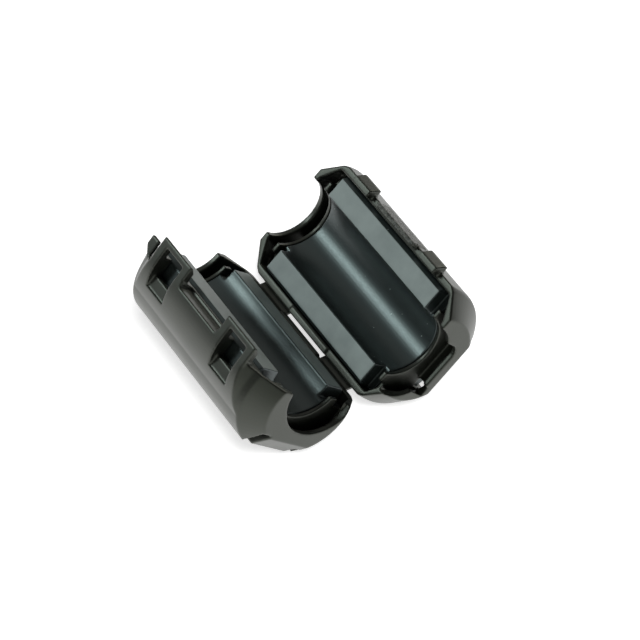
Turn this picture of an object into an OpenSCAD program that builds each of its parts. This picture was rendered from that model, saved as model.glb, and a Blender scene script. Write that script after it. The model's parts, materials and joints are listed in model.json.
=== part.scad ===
// Clip-on ferrite bead: a hinged plastic case in two half shells, each holding a half-ring ferrite core.
// It lies open as a V on its two rounded backs. Millimetres, Z up, origin on the floor under the hinge.
// The cable channel of each half runs along Y. The hook half is at +X and the loop half at -X.

/* [Cable channel] */
// Diameter of the closed cable channel
bore_d = 11; // [10:0.5:11.5]

/* [Core] */
// Length of the rebate at each end of a ground face
rebate_len = 1.3; // [1.1:0.1:1.5]
// Depth of the rebate below the ground face
rebate_depth = 2.2; // [1.8:0.1:2.6]
// Height of the chamfer along the outer edges of the ground faces
chamfer_h = 0.8; // [0.5:0.1:1]
// Width of that chamfer
chamfer_w = 0.6; // [0.4:0.1:0.9]
// Gap left between a ground face and the parting plane
face_gap = 0.03; // [0.02:0.01:0.08]
// Clearance between the core and the case
core_fit = 0.1; // [0.06:0.02:0.16]

/* [Case] */
// Width of the case
case_w = 21.6; // [21.2:0.1:22.4]
// Length from one end wall to the other
case_len = 36.6; // [36:0.2:38]
// Depth of the flat back below the parting plane
back_depth = 11.3; // [11.1:0.05:11.6]
// Distance of the middle of a rounded back corner from the middle plane
round_x = 1.3; // [1:0.1:1.8]
// Depth that the flat back takes off the rounded corners
back_cut = 0.86; // [0.6:0.02:1.1]
// Wall thickness of the round part
wall = 1.2; // [1.1:0.05:1.3]
// Thickness of the flat back
back_wall = 1.2; // [1:0.1:1.4]
// Drop of the case rim below the parting plane
rim_drop = 0.4; // [0.3:0.05:0.6]
// Radius of the end face of the domed ends
nose_r = 7.5; // [7.3:0.1:7.8]
// Length of the slope at each end of the flat back
slope_len = 2.3; // [2:0.1:2.6]
// Rise of that slope
slope_rise = 2.8; // [2.4:0.1:3]
// Thickness of an end wall
end_wall = 1; // [0.8:0.1:1.2]
// Length of the pocket between an end wall and the rib behind it
pocket_len = 1.6; // [1.4:0.1:2]
// Thickness of the rib that stops the core at each end
rib_t = 0.7; // [0.5:0.1:0.9]
// Width of the tongue between the slits in the back
tongue_w = 7.6; // [7.4:0.1:8]
// Width of the slits beside the tongue
slit_w = 1.6; // [1.4:0.1:1.8]
// Length of the slits
slit_len = 5.8; // [5:0.1:6]
// Width of the rib tips beside the channel
rib_tip_w = 1.4; // [1.1:0.1:1.6]
// Drop of the rib tips below the parting plane
rib_drop = 0.9; // [0.7:0.1:1.2]
// Depth of the recess above the tongue
recess_depth = 7.6; // [7.3:0.1:7.8]
// Depth of the lip in front of the open recess
lip_depth = 6.9; // [6.5:0.1:7.2]
// Radius of the lower corner of that recess
recess_round = 1.6; // [1.2:0.1:2]
// Radius of the wider opening in the near end wall
near_r = 6.4; // [6.2:0.1:6.6]
// Shift of that opening towards the hinge
near_shift = 1.2; // [1:0.1:1.4]
// Rise of the ear at the far corner of the loop half above the parting plane
ear_rise = 0.3; // [0.1:0.05:0.35]
// Depth of the notch around that ear
notch_depth = 2.4; // [2.1:0.1:2.6]

/* [Hinge] */
// Angle between the two parting planes as it lies
opening_deg = 96; // [92:1:104]
// Distance of the hinge line outside the case wall
hinge_out = 0.15; // [0.12:0.01:0.3]
// Distance of a film hinge from the end of the case
film_inset = 5.8; // [5.4:0.1:6.4]
// Length of the slot between the film hinges
slot_len = 10.2; // [9.6:0.1:10.8]
// Drop of the slot's edges below the parting plane
slot_drop = 0.15; // [0.1:0.05:0.3]
// Thickness of the film where it leaves the case
film_t = 0.45; // [0.35:0.05:0.6]
// Depth of the film below the rim
film_drop = 0.5; // [0.3:0.05:0.7]

/* [Latch] */
// Distance of a latch from the end of the case
latch_inset = 9.1; // [8.9:0.1:9.3]
// Width of a latch loop
loop_w = 7.7; // [7.4:0.1:8]
// Width of the window in a loop
window_w = 4.6; // [4.5:0.1:4.8]
// Height of the loop above the parting plane
loop_rise = 2.3; // [2.2:0.1:2.6]
// Size of the lead-in chamfer along the inner edge of that loop
lead_in = 0.9; // [0.7:0.1:0.9]
// Height of the bar across the top of a loop
bar_h = 1.1; // [0.9:0.1:1.3]
// Height of the window
window_h = 6.8; // [6.2:0.1:7]
// Depth to which the window goes through the case wall
window_depth = 3.4; // [3:0.1:3.8]
// Thickness of the loop plate
loop_t = 1.3; // [1:0.1:1.4]
// Clearance between loop and wall
loop_gap = 0.2; // [0.15:0.05:0.3]
// Width of a hook
hook_w = 4.2; // [3.9:0.1:4.3]
// Depth of the catch face of a hook
catch_depth = 1.1; // [0.8:0.1:1.2]
// Height of the hook above the parting plane
hook_rise = 1; // [0.8:0.1:1.2]
// Clearance under the catch face when closed
catch_gap = 0.05; // [0.05:0.05:0.2]
// Space between the guide rib and the loop beside it
guide_space = 0.35; // [0.25:0.05:0.6]
// Height of the guide rib above the parting plane
guide_rise = 0.9; // [0.7:0.1:1.1]

/* [Hidden] */
$fn = 96;
cut = 0.5;
bore_r = bore_d / 2;
half_len = case_len / 2;
pocket_end = half_len - end_wall;
rib_end = pocket_end - pocket_len;
bay_half = rib_end - rib_t;
core_len = 2 * (bay_half - core_fit);
land_len = core_len - 2 * rebate_len;
side_x = case_w / 2;
back_r = side_x - round_x;
round_depth = back_depth + back_cut - back_r;
cavity_r = back_r - wall;
cavity_x = round_x + cavity_r;
core_r = cavity_r - core_fit;
core_x = round_x + core_r;
land_x = core_x - chamfer_w;
core_depth = back_depth - back_wall;
pocket_r = nose_r - end_wall;
loop_in = side_x + loop_gap;
loop_out = loop_in + loop_t;
pad_r = norm([loop_out, round_depth - rim_drop]);
corner_r = norm([side_x, round_depth - rim_drop]);
dome_fall = 0.48;
dome_back = [5.6, 4, 3, 0];
dome_y = [for (b = dome_back) half_len - b];
dome_r = [pad_r, corner_r, corner_r - dome_fall, nose_r];
bay_r = norm([cavity_x, round_depth]);
tip_out = bore_r + rib_tip_w;
tongue_half = tongue_w / 2;
slit_x = tongue_half + slit_w;
slit_stop = 1.1;
slit_step = 0.5;
slit_rise = 3.3;
slit_depth = back_depth - slit_rise;
tilt = (180 - opening_deg) / 2;
hinge_reach = side_x + hinge_out;
axis_height = back_r + round_x * sin(tilt) + round_depth * cos(tilt);
hinge_height = axis_height - hinge_reach * sin(tilt);
film_len = half_len - film_inset - slot_len / 2;
film_mid = (slot_len + film_len) / 2;
boss_in = cavity_x + 0.2;
boss_x = side_x + 0.05;
boss_depth = rim_drop + film_drop + film_t + 0.3;
latch_pitch = case_len - 2 * latch_inset;
blend_in = cavity_x - 3;
blend_x = 3;
blend_z = -1;
window_top = loop_rise - bar_h;
window_in = bore_r + 0.6;
catch_z = catch_gap - window_top;
tip_x = side_x + catch_depth;
tip_h = 0.5;
hook_in = cavity_x + 0.4;
hook_neck_x = side_x - 0.3;
hook_top_x = side_x + 0.3;
hook_root = 1.2;
guide_len = latch_pitch - loop_w - 2 * guide_space;
guide_in = side_x - 0.5;
guide_out = side_x + 0.2;
guide_root = 2.6;
guide_gap = 0.15;
loop_end = (latch_pitch + loop_w) / 2;
ear_in = side_x - 0.6;
ear_back = 1.8;
ear_w = 1.8;
ear_depth = notch_depth + 0.6;
ear_slope = ear_w - 0.2;
color_case = [0.09, 0.09, 0.09];
color_core = [0.4, 0.44, 0.44];
color_film = [0.06, 0.06, 0.06];

// a point of the hook half, given from the bore axis, seen from the hinge line as it lies
function laid(x, z) = [
    (x + hinge_reach) * cos(tilt) - z * sin(tilt),
    (x + hinge_reach) * sin(tilt) + z * cos(tilt)
];

// places a half, drawn with its bore axis on Y and its back at -Z, in the open V
module lay(side) {
    translate([0, 0, hinge_height])
        mirror([side < 0 ? 1 : 0, 0, 0])
            rotate([0, -tilt, 0])
                translate([hinge_reach, 0, 0])
                    children();
}

module box(x0, x1, y0, y1, z0, z1) {
    translate([x0, y0, z0])
        cube([x1 - x0, y1 - y0, z1 - z0]);
}

module rod(r, half) {
    rotate([90, 0, 0])
        cylinder(r = r, h = 2 * half, center = true);
}

// a section in X and Z run along Y between two places
module slice(points, y0, y1) {
    translate([0, y1, 0])
        rotate([90, 0, 0])
            linear_extrude(y1 - y0)
                polygon(points);
}

// a body turned about the middle of the rounded back, from its radius and distance along Y, both ends alike
module turned(r, y) {
    last = len(r) - 1;
    translate([0, 0, -round_depth])
        rotate([90, 0, 0])
            rotate_extrude()
                polygon(concat(
                    [[0, -y[last]]],
                    [for (i = [last : -1 : 0]) [r[i], -y[i]]],
                    [for (i = [0 : last]) [r[i], y[i]]],
                    [[0, y[last]]]
                ));
}

// the section of the case or of the core: upright sides, two round corners and a flat back
module section(r, half, depth, top) {
    intersection() {
        union() {
            for (s = [-1, 1])
                translate([s * round_x, 0, -round_depth])
                    rod(r, half);
            box(-round_x, round_x, -half, half, -depth, top);
            box(-round_x - r, round_x + r, -half, half, -round_depth, top);
        }
        box(-case_w, case_w, -case_len, case_len, -depth, top);
    }
}

// cuts the two slopes at the ends of the flat back
module sloped_ends() {
    translate([-case_w, 0, 0])
        rotate([90, 0, 90])
            linear_extrude(2 * case_w)
                polygon([
                    [-half_len, 0],
                    [-half_len, slope_rise - back_depth],
                    [slope_len - half_len, -back_depth],
                    [half_len - slope_len, -back_depth],
                    [half_len, slope_rise - back_depth],
                    [half_len, 0]
                ]);
}

// the thicker wall on the loop side, flush with the loops and running out into the round of the case
module loop_pad() {
    intersection() {
        union() {
            translate([blend_x, 0, blend_z])
                rod(loop_out - blend_x, case_len);
            box(blend_x, loop_out, -case_len, case_len, blend_z, 0);
        }
        box(blend_in, case_w, -half_len, half_len, -core_depth, -rim_drop);
    }
}

// the outside of one half, with the films' bosses and the edges of the slot between them
module case_outside(padded) {
    intersection() {
        union() {
            section(back_r, half_len, back_depth, -rim_drop);
            if (padded)
                loop_pad();
        }
        turned(dome_r, dome_y);
        sloped_ends();
    }
    for (s = [-1, 1])
        translate([0, s * film_mid, 0])
            box(-boss_x, -boss_in, -film_len / 2, film_len / 2, -boss_depth, -rim_drop);
    box(-side_x, -boss_in, -slot_len / 2, slot_len / 2, -boss_depth, -slot_drop);
}

// the hollow of one half: a bay for the core and a pocket behind each end wall
module case_inside() {
    intersection() {
        section(cavity_r, half_len, core_depth, cut);
        turned([bay_r, pocket_r], [bay_half, pocket_end]);
        union() {
            box(-case_w, case_w, -bay_half, bay_half, -case_w, cut);
            for (e = [-1, 1])
                mirror([0, e < 0 ? 1 : 0, 0]) {
                    box(-case_w, case_w, rib_end, case_len, -recess_depth, cut);
                    for (s = [-1, 1])
                        mirror([s < 0 ? 1 : 0, 0, 0]) {
                            box(tongue_half, case_w, rib_end, case_len, -case_w, cut);
                            box(tip_out, case_w, bay_half - cut, case_len, -rebate_depth, cut);
                        }
                    box(-case_w, case_w, bay_half - cut, case_len, -rib_drop, cut);
                }
        }
    }
}

// cuts the slits beside the tongue at both ends; those of the loop half run out on the latch side
module slits(run_out) {
    latch_stop = run_out ? -cut : slit_stop;
    for (e = [-1, 1])
        mirror([0, e < 0 ? 1 : 0, 0]) {
            box(tongue_half, slit_x, half_len - slit_len, half_len - latch_stop, -case_w, -slit_depth);
            box(-slit_x, -tongue_half, half_len - slit_len, half_len - slit_stop, -case_w, -slit_depth);
        }
}

// cuts the near end of the hook half open above its tongue, with a round corner on the latch side
module near_recess() {
    round_out = tongue_half - recess_round;
    round_up = recess_round - lip_depth;
    intersection() {
        union() {
            translate([round_out, 0, round_up])
                rod(recess_round, case_len);
            box(-slit_x, round_out, -case_len, 0, -lip_depth, 0);
            box(-slit_x, tongue_half, -case_len, 0, round_up, 0);
            box(-slit_x, -tongue_half, -case_len, 0, slit_step - slit_depth, 0);
        }
        box(-case_w, case_w, -case_len, -rib_end, -case_w, 0);
    }
}

// the case of one half without its latches; the near end is open wider than the far end
module half_case(padded) {
    difference() {
        case_outside(padded);
        rod(bore_r, case_len);
        translate([-near_shift, cut - pocket_end, 0])
            rotate([90, 0, 0])
                cylinder(r = near_r, h = case_len);
        case_inside();
        slits(padded);
        if (!padded)
            near_recess();
    }
}

module half_core() {
    difference() {
        intersection() {
            section(core_r, core_len / 2, core_depth, -face_gap);
            slice([
                [-core_x - cut, -case_w],
                [core_x + cut, -case_w],
                [core_x + cut, -chamfer_h - face_gap],
                [core_x, -chamfer_h - face_gap],
                [land_x, -face_gap],
                [-land_x, -face_gap],
                [-core_x, -chamfer_h - face_gap],
                [-core_x - cut, -chamfer_h - face_gap]
            ], -core_len, core_len);
        }
        rod(bore_r, core_len);
        for (e = [-1, 1])
            mirror([0, e < 0 ? 1 : 0, 0])
                box(-case_w, case_w, land_len / 2, core_len, -rebate_depth, cut);
    }
}

module hook(y) {
    slice([
        [hook_in, -hook_root],
        [hook_neck_x, -hook_root],
        [hook_neck_x, catch_z],
        [tip_x, catch_z],
        [tip_x, catch_z + tip_h],
        [hook_top_x, hook_rise],
        [hook_in, hook_rise]
    ], y - hook_w / 2, y + hook_w / 2);
}

module base_shell() {
    color(color_case)
        lay(1) {
            half_case(false);
            for (s = [-1, 1])
                hook(s * latch_pitch / 2);
            box(guide_in, guide_out, -guide_len / 2, guide_len / 2, -guide_root, guide_rise);
        }
}

// the small upright ear beside the domed far end of the loop half, sloped off below
module far_ear() {
    ear_end = half_len - ear_back;
    translate([ear_in, 0, 0])
        rotate([90, 0, 90])
            linear_extrude(side_x - ear_in)
                polygon([
                    [ear_end - ear_w, -ear_depth],
                    [ear_end - ear_slope, -ear_depth],
                    [ear_end, ear_slope - ear_depth],
                    [ear_end, ear_rise],
                    [ear_end - ear_w, ear_rise]
                ]);
}

// cuts the far corner of the loop half low, from the loop to the end wall
module far_notch() {
    box(tip_out, case_w, loop_end, case_len, -notch_depth, cut);
    box(bore_r - cut, case_w, rib_end, case_len, -notch_depth, cut);
}

module loop(y) {
    slice([
        [loop_in, blend_z],
        [loop_out, blend_z],
        [loop_out, loop_rise],
        [loop_in + lead_in, loop_rise],
        [loop_in, loop_rise - lead_in]
    ], y - loop_w / 2, y + loop_w / 2);
}

module cover_shell() {
    color(color_case)
        lay(-1) {
            difference() {
                union() {
                    half_case(true);
                    for (s = [-1, 1])
                        loop(s * latch_pitch / 2);
                }
                far_notch();
                for (s = [-1, 1])
                    translate([0, s * latch_pitch / 2, 0]) {
                        box(side_x, case_w, -window_w / 2, window_w / 2, window_top - window_h, window_top);
                        box(window_in, case_w, -window_w / 2, window_w / 2, -window_depth, window_top);
                    }
                box(guide_in - guide_gap, case_w, -guide_len / 2 - guide_gap, guide_len / 2 + guide_gap,
                    -guide_rise - guide_gap, cut);
            }
            far_ear();
        }
}

module base_core() {
    color(color_core)
        lay(1)
            half_core();
}

module cover_core() {
    color(color_core)
        lay(-1)
            half_core();
}

// the film between the two halves, flat in the open pose
module hinge_film(y) {
    top = laid(-boss_x, -rim_drop - film_drop);
    low = laid(-boss_x, -rim_drop - film_drop - film_t);
    color(color_film)
        translate([0, 0, hinge_height])
            slice([
                [-top[0], top[1]],
                [-low[0], low[1]],
                [low[0], low[1]],
                [top[0], top[1]]
            ], y - film_len / 2, y + film_len / 2);
}

module hinge_film_far() {
    hinge_film(film_mid);
}

module hinge_film_near() {
    hinge_film(-film_mid);
}

base_shell();
cover_shell();
base_core();
cover_core();
hinge_film_far();
hinge_film_near();
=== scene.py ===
"""A clip-on ferrite bead lying open: two nylon half cases on film hinges, each with a half-ring core."""

import json
import math

import bmesh
import bpy
from mathutils import Matrix, Vector

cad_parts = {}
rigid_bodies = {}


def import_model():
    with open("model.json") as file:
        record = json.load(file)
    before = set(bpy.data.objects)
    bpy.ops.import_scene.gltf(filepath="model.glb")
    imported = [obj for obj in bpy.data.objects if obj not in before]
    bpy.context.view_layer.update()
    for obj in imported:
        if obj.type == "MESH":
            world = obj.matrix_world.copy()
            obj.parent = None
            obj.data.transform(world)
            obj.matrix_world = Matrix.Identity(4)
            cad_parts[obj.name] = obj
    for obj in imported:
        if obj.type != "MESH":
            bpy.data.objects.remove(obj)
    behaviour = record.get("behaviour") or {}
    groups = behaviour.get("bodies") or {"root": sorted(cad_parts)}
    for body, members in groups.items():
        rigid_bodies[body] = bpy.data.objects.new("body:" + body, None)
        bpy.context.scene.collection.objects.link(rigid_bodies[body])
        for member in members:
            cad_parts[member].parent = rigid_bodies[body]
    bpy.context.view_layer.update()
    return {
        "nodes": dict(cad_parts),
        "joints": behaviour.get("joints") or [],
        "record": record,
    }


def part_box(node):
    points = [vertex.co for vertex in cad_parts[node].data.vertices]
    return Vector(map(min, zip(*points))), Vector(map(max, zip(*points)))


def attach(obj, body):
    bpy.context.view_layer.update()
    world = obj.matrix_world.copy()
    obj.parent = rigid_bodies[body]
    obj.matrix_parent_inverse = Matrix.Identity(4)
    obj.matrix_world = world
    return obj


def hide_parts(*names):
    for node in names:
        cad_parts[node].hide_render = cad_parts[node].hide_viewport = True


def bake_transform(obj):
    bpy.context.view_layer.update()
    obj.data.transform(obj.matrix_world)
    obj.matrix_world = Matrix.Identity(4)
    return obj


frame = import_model()

MM = 0.001
scene = bpy.context.scene
scene.view_settings.view_transform = "Standard"

# The two halves lie as a V: each has its own axes, with the bore axis along Y and the parting plane level
hinge = Vector(frame["joints"][0]["pos_m"])
bore_axis = {mount["name"]: Vector(mount["pos_m"]) for mount in frame["record"]["mounts"]}
arm = bore_axis["base_channel"] - hinge
tilt = math.atan2(arm.z, arm.x)
base_axes = Matrix.Translation(bore_axis["base_channel"]) @ Matrix.Rotation(-tilt, 4, "Y")
cover_axes = Matrix.Translation(bore_axis["cover_channel"]) @ Matrix.Rotation(tilt, 4, "Y")


# Materials

# Sizes of the patterns and the depths of their relief, in millimetres
FLOW_MM = 6
NYLON_GRAIN_MM = 0.35
NYLON_RELIEF_MM = 0.02
PIT_MM = 0.5
PIT_RELIEF_MM = 0.3
FERRITE_GRAIN_MM = 0.3
FERRITE_RELIEF_MM = 0.02
FERRITE_CLOUD_MM = 5
GROUND_CLOUD_MM = 4
GROUND_LINE_MM = 0.25
GROUND_RELIEF_MM = 0.01
DUST_CELL_MM = 1.4

# Grinding lines run along the channel, so their pattern is stretched that way
LINE_STRETCH = (1, 0.05, 1)
# Reach of a pale grain as a share of its cell, and the share of the cells that hold one
DUST_REACH = 0.07
DUST_SHARE = 0.35

NYLON_IOR = 1.57
FIRED_IOR = 1.7
GROUND_IOR = 1.6


def linear(code):
    """An sRGB hex colour as the linear colour that a shader takes."""
    parts = [int(code[i:i + 2], 16) / 255 for i in (1, 3, 5)]
    return [v / 12.92 if v <= 0.04045 else ((v + 0.055) / 1.055) ** 2.4 for v in parts] + [1]


def fill(tree, node, sockets):
    """Fills a node's sockets: each is given a value, or another node's output to link from."""
    for name, value in sockets.items():
        if isinstance(value, bpy.types.NodeSocket):
            tree.links.new(value, node.inputs[name])
        else:
            node.inputs[name].default_value = value


def add(tree, kind, sockets=None, **settings):
    """Adds a node to a tree, with its settings, values and links."""
    node = tree.nodes.new(kind)
    for name, value in settings.items():
        setattr(node, name, value)
    fill(tree, node, sockets or {})
    return node


def shaded(name):
    """A new material with its tree, its shader and the coordinates that its patterns are laid out in."""
    material = bpy.data.materials.new(name)
    material.use_nodes = True
    tree = material.node_tree
    place = add(tree, "ShaderNodeTexCoord").outputs["Object"]
    return material, tree, tree.nodes["Principled BSDF"], place


def per_metre(size_mm):
    """The texture scale that gives a pattern of about this size."""
    return 1 / (size_mm * MM)


def moulded_nylon():
    """Black polyamide from a polished mould: satin, with a faint flow mottle and a fine grain."""
    material, tree, shader, place = shaded("moulded_nylon")
    flow = add(tree, "ShaderNodeTexNoise", {"Vector": place, "Scale": per_metre(FLOW_MM), "Detail": 3.0})
    grain = add(tree, "ShaderNodeTexNoise", {
        "Vector": place,
        "Scale": per_metre(NYLON_GRAIN_MM),
        "Detail": 2.0,
    })
    tone = add(tree, "ShaderNodeMix", {
        "Factor": flow.outputs["Fac"],
        "A": linear("#131411"),
        "B": linear("#1a1b17"),
    }, data_type="RGBA")
    gloss = add(tree, "ShaderNodeMapRange", {"Value": flow.outputs["Fac"], "To Min": 0.38, "To Max": 0.48})
    relief = add(tree, "ShaderNodeBump", {
        "Height": grain.outputs["Fac"],
        "Strength": 0.12,
        "Distance": NYLON_RELIEF_MM * MM,
    })
    fill(tree, shader, {
        "Base Color": tone.outputs["Result"],
        "Roughness": gloss.outputs["Result"],
        "Normal": relief.outputs["Normal"],
        "IOR": NYLON_IOR,
        "Specular IOR Level": 0.48,
        "Specular Tint": linear("#f8fff0"),
    })
    return material


def eroded_nylon_painted_light():
    """The same polyamide off a spark-eroded mould face: a real coarse dull grain, with painted light in its
    pale grey, lightest on the raised grain.
    """
    material, tree, shader, place = shaded("spark_eroded_nylon_painted_light")
    pits = add(tree, "ShaderNodeTexNoise", {"Vector": place, "Scale": per_metre(PIT_MM), "Detail": 4.0})
    spread = add(tree, "ShaderNodeMapRange", {
        "Value": pits.outputs["Fac"],
        "From Min": 0.38,
        "From Max": 0.62,
    })
    # Painted light: the pale greys, lightest where the grain is raised, stand in for light the rough face
    # scatters
    tone = add(tree, "ShaderNodeMix", {
        "Factor": spread.outputs["Result"],
        "A": linear("#33352f"),
        "B": linear("#6b6d66"),
    }, data_type="RGBA")
    relief = add(tree, "ShaderNodeBump", {
        "Height": pits.outputs["Fac"],
        "Strength": 1.0,
        "Distance": PIT_RELIEF_MM * MM,
    })
    fill(tree, shader, {
        "Base Color": tone.outputs["Result"],
        "Roughness": 0.6,
        "Normal": relief.outputs["Normal"],
        "IOR": NYLON_IOR,
    })
    return material


def dust(tree, place):
    """1 on the few pale grains that lie about a millimetre apart on the ferrite, 0 between them."""
    cells = add(tree, "ShaderNodeTexVoronoi", {"Vector": place, "Scale": per_metre(DUST_CELL_MM)})
    near = add(tree, "ShaderNodeMath", {
        0: cells.outputs["Distance"],
        1: DUST_REACH,
    }, operation="LESS_THAN")
    some = add(tree, "ShaderNodeMath", {
        0: cells.outputs["Color"],
        1: 1 - DUST_SHARE,
    }, operation="GREATER_THAN")
    both = add(tree, "ShaderNodeMath", {
        0: near.outputs["Value"],
        1: some.outputs["Value"],
    }, operation="MULTIPLY")
    return both.outputs["Value"]


def fired_ferrite():
    """Nickel-zinc ferrite as it leaves the kiln: near black, with a satin skin and a few pale grains."""
    material, tree, shader, place = shaded("fired_ferrite")
    grain = add(tree, "ShaderNodeTexNoise", {
        "Vector": place,
        "Scale": per_metre(FERRITE_GRAIN_MM),
        "Detail": 3.0,
    })
    cloud = add(tree, "ShaderNodeTexNoise", {
        "Vector": place,
        "Scale": per_metre(FERRITE_CLOUD_MM),
        "Detail": 2.0,
    })
    tone = add(tree, "ShaderNodeMix", {
        "Factor": cloud.outputs["Fac"],
        "A": linear("#1c2121"),
        "B": linear("#262b2b"),
    }, data_type="RGBA")
    dusted = add(tree, "ShaderNodeMix", {
        "Factor": dust(tree, place),
        "A": tone.outputs["Result"],
        "B": linear("#8e9693"),
    }, data_type="RGBA")
    gloss = add(tree, "ShaderNodeMapRange", {"Value": grain.outputs["Fac"], "To Min": 0.32, "To Max": 0.44})
    relief = add(tree, "ShaderNodeBump", {
        "Height": grain.outputs["Fac"],
        "Strength": 0.2,
        "Distance": FERRITE_RELIEF_MM * MM,
    })
    fill(tree, shader, {
        "Base Color": dusted.outputs["Result"],
        "Roughness": gloss.outputs["Result"],
        "Normal": relief.outputs["Normal"],
        "IOR": FIRED_IOR,
        "Specular IOR Level": 0.44,
        "Specular Tint": linear("#e8fbfa"),
    })
    return material


def ground_ferrite():
    """The mating faces after the grinding wheel: matt blue-grey, with fine lines along the channel."""
    material, tree, shader, place = shaded("ground_ferrite")
    stretched = add(tree, "ShaderNodeMapping", {"Vector": place, "Scale": LINE_STRETCH})
    lines = add(tree, "ShaderNodeTexNoise", {
        "Vector": stretched.outputs["Vector"],
        "Scale": per_metre(GROUND_LINE_MM),
    })
    cloud = add(tree, "ShaderNodeTexNoise", {
        "Vector": place,
        "Scale": per_metre(GROUND_CLOUD_MM),
        "Detail": 4.0,
    })
    spread = add(tree, "ShaderNodeMapRange", {
        "Value": cloud.outputs["Fac"],
        "From Min": 0.35,
        "From Max": 0.65,
    })
    tone = add(tree, "ShaderNodeMix", {
        "Factor": spread.outputs["Result"],
        "A": linear("#7d8886"),
        "B": linear("#8c9795"),
    }, data_type="RGBA")
    relief = add(tree, "ShaderNodeBump", {
        "Height": lines.outputs["Fac"],
        "Strength": 0.08,
        "Distance": GROUND_RELIEF_MM * MM,
    })
    fill(tree, shader, {
        "Base Color": tone.outputs["Result"],
        "Roughness": 0.55,
        "Normal": relief.outputs["Normal"],
        "IOR": GROUND_IOR,
    })
    return material


nylon = moulded_nylon()
rough_nylon_painted_light = eroded_nylon_painted_light()
dark_ferrite = fired_ferrite()
grey_ferrite = ground_ferrite()


# Pieces

MERGE_MM = 0.0001
# Cell size in millimetres, passes that round the edges, and the share of the faces that is kept
SHELL_CELLS = (0.16, 5, 0.45)
CORE_CELLS = (0.14, 2, 0.3)
# Places in millimetres from the bore axis: the guide rib between the hooks, and the ground faces
GUIDE_INNER_X = 10.25
GUIDE_HALF_LENGTH = 5.1
GUIDE_LOWEST_Z = -2.7
LAND_LOWEST_Z = -0.12
LAND_LEVEL = 0.9
FILM_CUTS = 12


def rounded_copy(name, node, axes, cells):
    """A copy of a node with the small rounds of a real edge, made in the half's own axes from even cells."""
    size_mm, passes, keep = cells
    form = bmesh.new()
    form.from_mesh(frame["nodes"][node].data)
    bmesh.ops.remove_doubles(form, verts=form.verts, dist=MERGE_MM * MM)
    bmesh.ops.transform(form, matrix=axes.inverted(), verts=form.verts)
    mesh = bpy.data.meshes.new(name)
    form.to_mesh(mesh)
    form.free()
    mesh.shade_smooth()
    draft = bpy.data.objects.new(name, mesh)
    scene.collection.objects.link(draft)
    even = draft.modifiers.new("cells", "REMESH")
    even.mode = "VOXEL"
    even.voxel_size = size_mm * MM
    even.use_smooth_shade = True
    rounds = draft.modifiers.new("rounds", "SMOOTH")
    rounds.factor = 0.5
    rounds.iterations = passes
    fewer = draft.modifiers.new("fewer", "DECIMATE")
    fewer.ratio = keep
    draft.modifiers.new("flats", "WEIGHTED_NORMAL")
    made = bpy.data.meshes.new_from_object(draft.evaluated_get(bpy.context.evaluated_depsgraph_get()))
    bpy.data.objects.remove(draft)
    made.materials.clear()
    piece = bpy.data.objects.new(name, made)
    scene.collection.objects.link(piece)
    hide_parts(node)
    return piece


def finish_piece(piece, axes, body, materials, choose):
    """Gives each face its finish by its place in the half's own axes, then sets the piece on its body."""
    mesh = piece.data
    for material in materials:
        mesh.materials.append(material)
    for face in mesh.polygons:
        face.material_index = choose(face.center / MM, face.normal)
    mesh.shade_smooth()
    mesh.transform(axes)
    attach(piece, body)


def on_guide(centre, normal):
    """1 on the guide rib between the hooks, which the mould left rough and which takes the pale finish with
    painted light.
    """
    along = abs(centre.y) < GUIDE_HALF_LENGTH
    return int(along and centre.x > GUIDE_INNER_X and centre.z > GUIDE_LOWEST_Z)


def on_land(centre, normal):
    """1 on the ground faces beside the channel."""
    return int(normal.z > LAND_LEVEL and centre.z > LAND_LOWEST_Z)


def plain(centre, normal):
    """0 everywhere: the loop half has no rough faces."""
    return 0


for half, axes, choose in (("base", base_axes, on_guide), ("cover", cover_axes, plain)):
    shell = rounded_copy(half + "_case", half + "_shell", axes, SHELL_CELLS)
    finish_piece(shell, axes, half, [nylon, rough_nylon_painted_light], choose)
    core = rounded_copy(half + "_half_ring", half + "_core", axes, CORE_CELLS)
    finish_piece(core, axes, half, [dark_ferrite, grey_ferrite], on_land)

# The films are strips, cut across many times
for node in ("hinge_film_far", "hinge_film_near"):
    low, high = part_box(node)
    form = bmesh.new()
    bmesh.ops.create_cube(form, size=1)
    bmesh.ops.scale(form, vec=high - low, verts=form.verts)
    bmesh.ops.translate(form, vec=(high + low) / 2, verts=form.verts)
    half_width = (high.x - low.x) / 2
    across = [edge for edge in form.edges if abs(edge.verts[0].co.x - edge.verts[1].co.x) > half_width]
    bmesh.ops.subdivide_edges(form, edges=across, cuts=FILM_CUTS)
    mesh = bpy.data.meshes.new(node + "_strip")
    form.to_mesh(mesh)
    form.free()
    mesh.materials.append(nylon)
    strip = bpy.data.objects.new(node + "_strip", mesh)
    scene.collection.objects.link(strip)
    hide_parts(node)
    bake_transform(strip)


# Floor, light and camera

FLOOR_REACH = 1.5
PAPER_GLOW = 0.68
WHITE_LEVEL = 1.0
ROOM_LEVEL = 0.08


def lamp(name, direction, distance, size, level, colour, lit):
    """A square soft box that looks at the hinge; level is what a white face turned to it would show."""
    light = bpy.data.lights.new(name, "AREA")
    light.size = size
    light.energy = level * math.pi ** 2 * distance ** 2
    light.color = linear(colour)[:3]
    stand = bpy.data.objects.new(name, light)
    away = Vector(direction).normalized()
    stand.location = hinge + away * distance
    stand.rotation_mode = "QUATERNION"
    stand.rotation_quaternion = away.to_track_quat("Z", "Y")
    stand.light_linking.receiver_collection = lit
    scene.collection.objects.link(stand)


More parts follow.
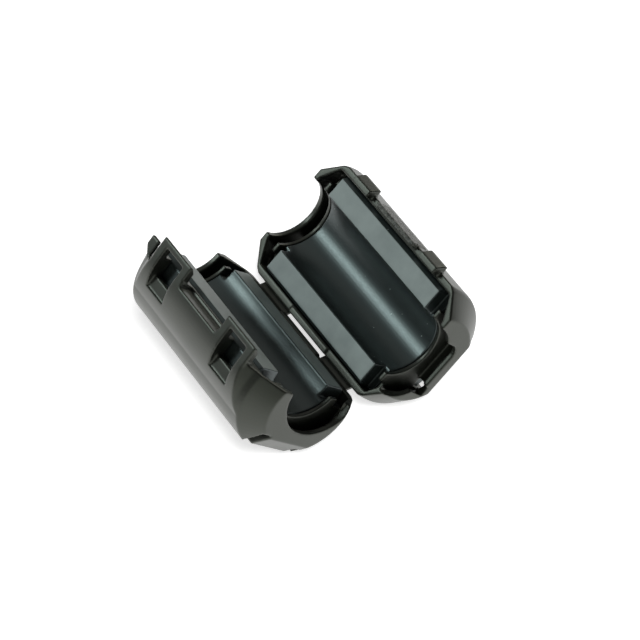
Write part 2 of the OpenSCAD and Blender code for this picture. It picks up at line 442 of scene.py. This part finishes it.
# The soft boxes light the clip; the overhead one lights the paper and leaves the clip's shadow on it
on_clip = bpy.data.collections.new("clip")
for piece in scene.objects:
    on_clip.objects.link(piece)
on_paper = bpy.data.collections.new("paper")
lamp("window_side", direction=(-0.545, 0.59, 0.595), distance=0.8, size=0.2,
     level=0.45, colour="#f0fbfb", lit=on_clip)
lamp("far_side", direction=(0.86, 0.35, 0.3), distance=0.9, size=0.3,
     level=0.18, colour="#fdfaf0", lit=on_clip)
lamp("above_back", direction=(0.3, 0.6, 0.75), distance=0.9, size=0.7,
     level=0.08, colour="#fffdf8", lit=on_clip)
lamp("low_front", direction=(-0.62, -0.75, 0.12), distance=0.6, size=0.6,
     level=0.22, colour="#f8fff4", lit=on_clip)
lamp("overhead", direction=(-0.12, -0.48, 0.87), distance=1.5, size=0.66,
     level=0.95, colour="#ffffff", lit=on_paper)

world = bpy.data.worlds.new("room")
world.use_nodes = True
room = world.node_tree
fill(room, room.nodes["Background"], {"Color": linear("#ffffff"), "Strength": ROOM_LEVEL})
scene.world = world

floor_form = bmesh.new()
bmesh.ops.create_grid(floor_form, x_segments=1, y_segments=1, size=FLOOR_REACH)
floor_mesh = bpy.data.meshes.new("floor")
floor_form.to_mesh(floor_mesh)
floor_form.free()
floor = bpy.data.objects.new("floor", floor_mesh)
scene.collection.objects.link(floor)
on_paper.objects.link(floor)

# White paper: it glows a little for the camera and is white in the clip's gloss, but lights nothing more
paper = bpy.data.materials.new("white_paper")
paper.use_nodes = True
tree = paper.node_tree
tree.nodes.clear()
path = add(tree, "ShaderNodeLightPath")
matt = add(tree, "ShaderNodeBsdfDiffuse", {"Color": linear("#f4f4f4")})
glow = add(tree, "ShaderNodeEmission", {"Color": linear("#ffffff"), "Strength": PAPER_GLOW})
white = add(tree, "ShaderNodeEmission", {"Color": linear("#ffffff"), "Strength": WHITE_LEVEL})
bright = add(tree, "ShaderNodeAddShader", {0: matt.outputs["BSDF"], 1: glow.outputs["Emission"]})
seen = add(tree, "ShaderNodeMixShader", {
    "Fac": path.outputs["Is Camera Ray"],
    1: matt.outputs["BSDF"],
    2: bright.outputs["Shader"],
})
clear = add(tree, "ShaderNodeAddShader", {0: matt.outputs["BSDF"], 1: white.outputs["Emission"]})
mirrored = add(tree, "ShaderNodeMixShader", {
    "Fac": path.outputs["Is Glossy Ray"],
    1: seen.outputs["Shader"],
    2: clear.outputs["Shader"],
})
add(tree, "ShaderNodeOutputMaterial", {"Surface": mirrored.outputs["Shader"]})
floor_mesh.materials.append(paper)

# The camera is where the photograph was taken from: a long lens, with the hinge a little off the middle
IMAGE_PX = 640
HINGE_PX = (304.0, 332.6)
CAMERA_AZIMUTH = math.radians(-30.76)
CAMERA_HEIGHT = math.radians(46.99)
CAMERA_DISTANCE = 528 * MM
SENSOR = 36
LENS = 199.5
back = Vector((
    math.sin(CAMERA_AZIMUTH) * math.cos(CAMERA_HEIGHT),
    -math.cos(CAMERA_AZIMUTH) * math.cos(CAMERA_HEIGHT),
    math.sin(CAMERA_HEIGHT),
))
lens = bpy.data.cameras.new("camera")
lens.sensor_width = SENSOR
lens.lens = LENS
lens.shift_x = 0.5 - HINGE_PX[0] / IMAGE_PX
lens.shift_y = HINGE_PX[1] / IMAGE_PX - 0.5
lens.clip_start = 0.01
lens.clip_end = 10
camera = bpy.data.objects.new("camera", lens)
camera.location = hinge + back * CAMERA_DISTANCE
camera.rotation_mode = "QUATERNION"
camera.rotation_quaternion = back.to_track_quat("Z", "Y")
scene.collection.objects.link(camera)
scene.camera = camera
